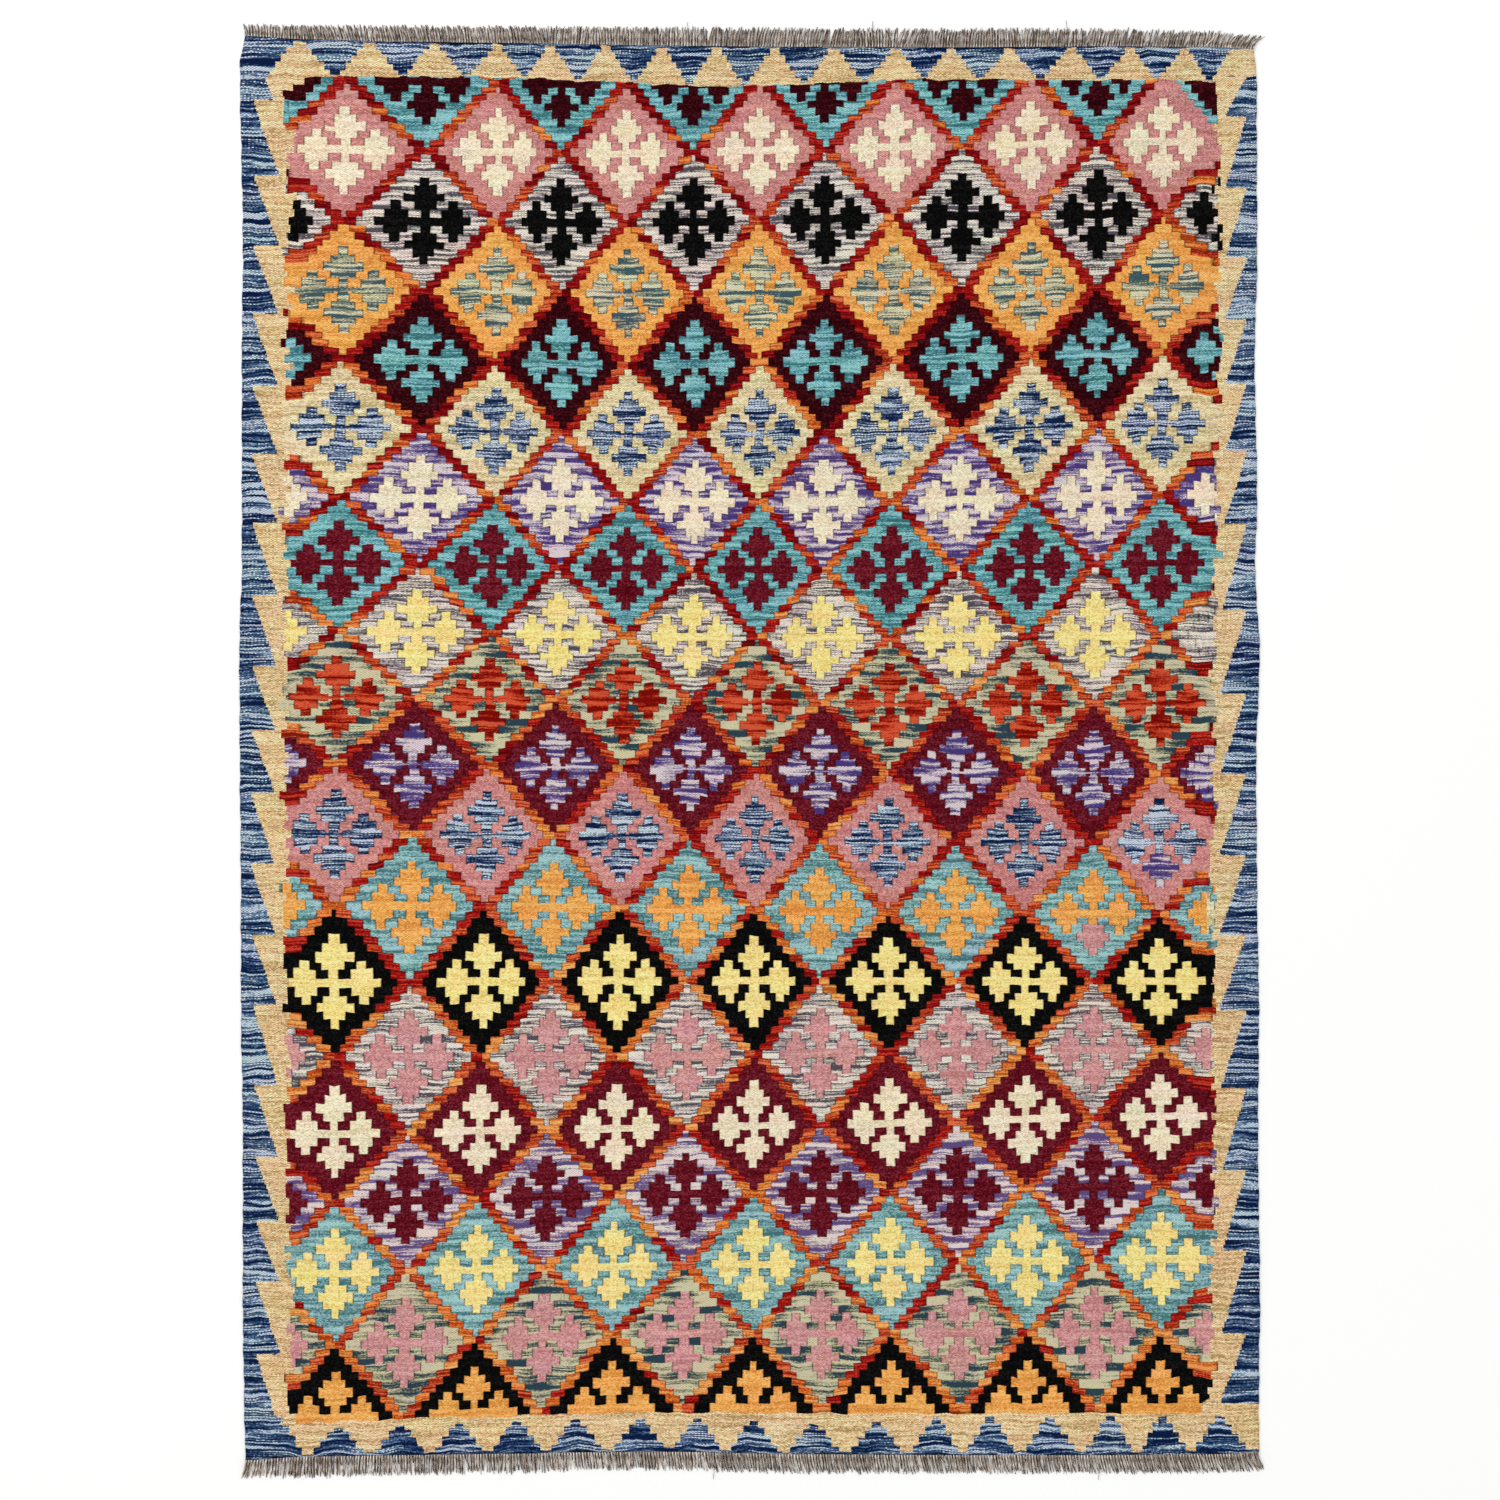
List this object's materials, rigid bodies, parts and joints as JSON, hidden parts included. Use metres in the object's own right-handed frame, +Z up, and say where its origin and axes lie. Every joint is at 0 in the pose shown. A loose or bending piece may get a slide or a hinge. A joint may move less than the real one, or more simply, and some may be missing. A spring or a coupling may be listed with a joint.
{
  "type": "kilim rug",
  "caption": "Flat-woven wool kilim rug that lies flat, with stepped lozenges in rows, toothed borders and a short warp fringe at both ends.",
  "frame": {"origin": "centre of the whole rug's outline, on the underside that rests on the floor", "axes": "+Y along the rug's length towards the far fringe, +X across the rug, +Z up out of the face"},
  "size_m": [1.7088, 2.4354, 0.003],
  "materials": {
    "wool_weave": "matt slit-tapestry weave in many wool colours",
    "warp_wool": "matt grey-brown twisted wool"
  },
  "bodies": {
    "root": {"cloth": "wool_weave", "fringe_far": "warp_wool", "fringe_near": "warp_wool"}
  },
  "joints": []
}
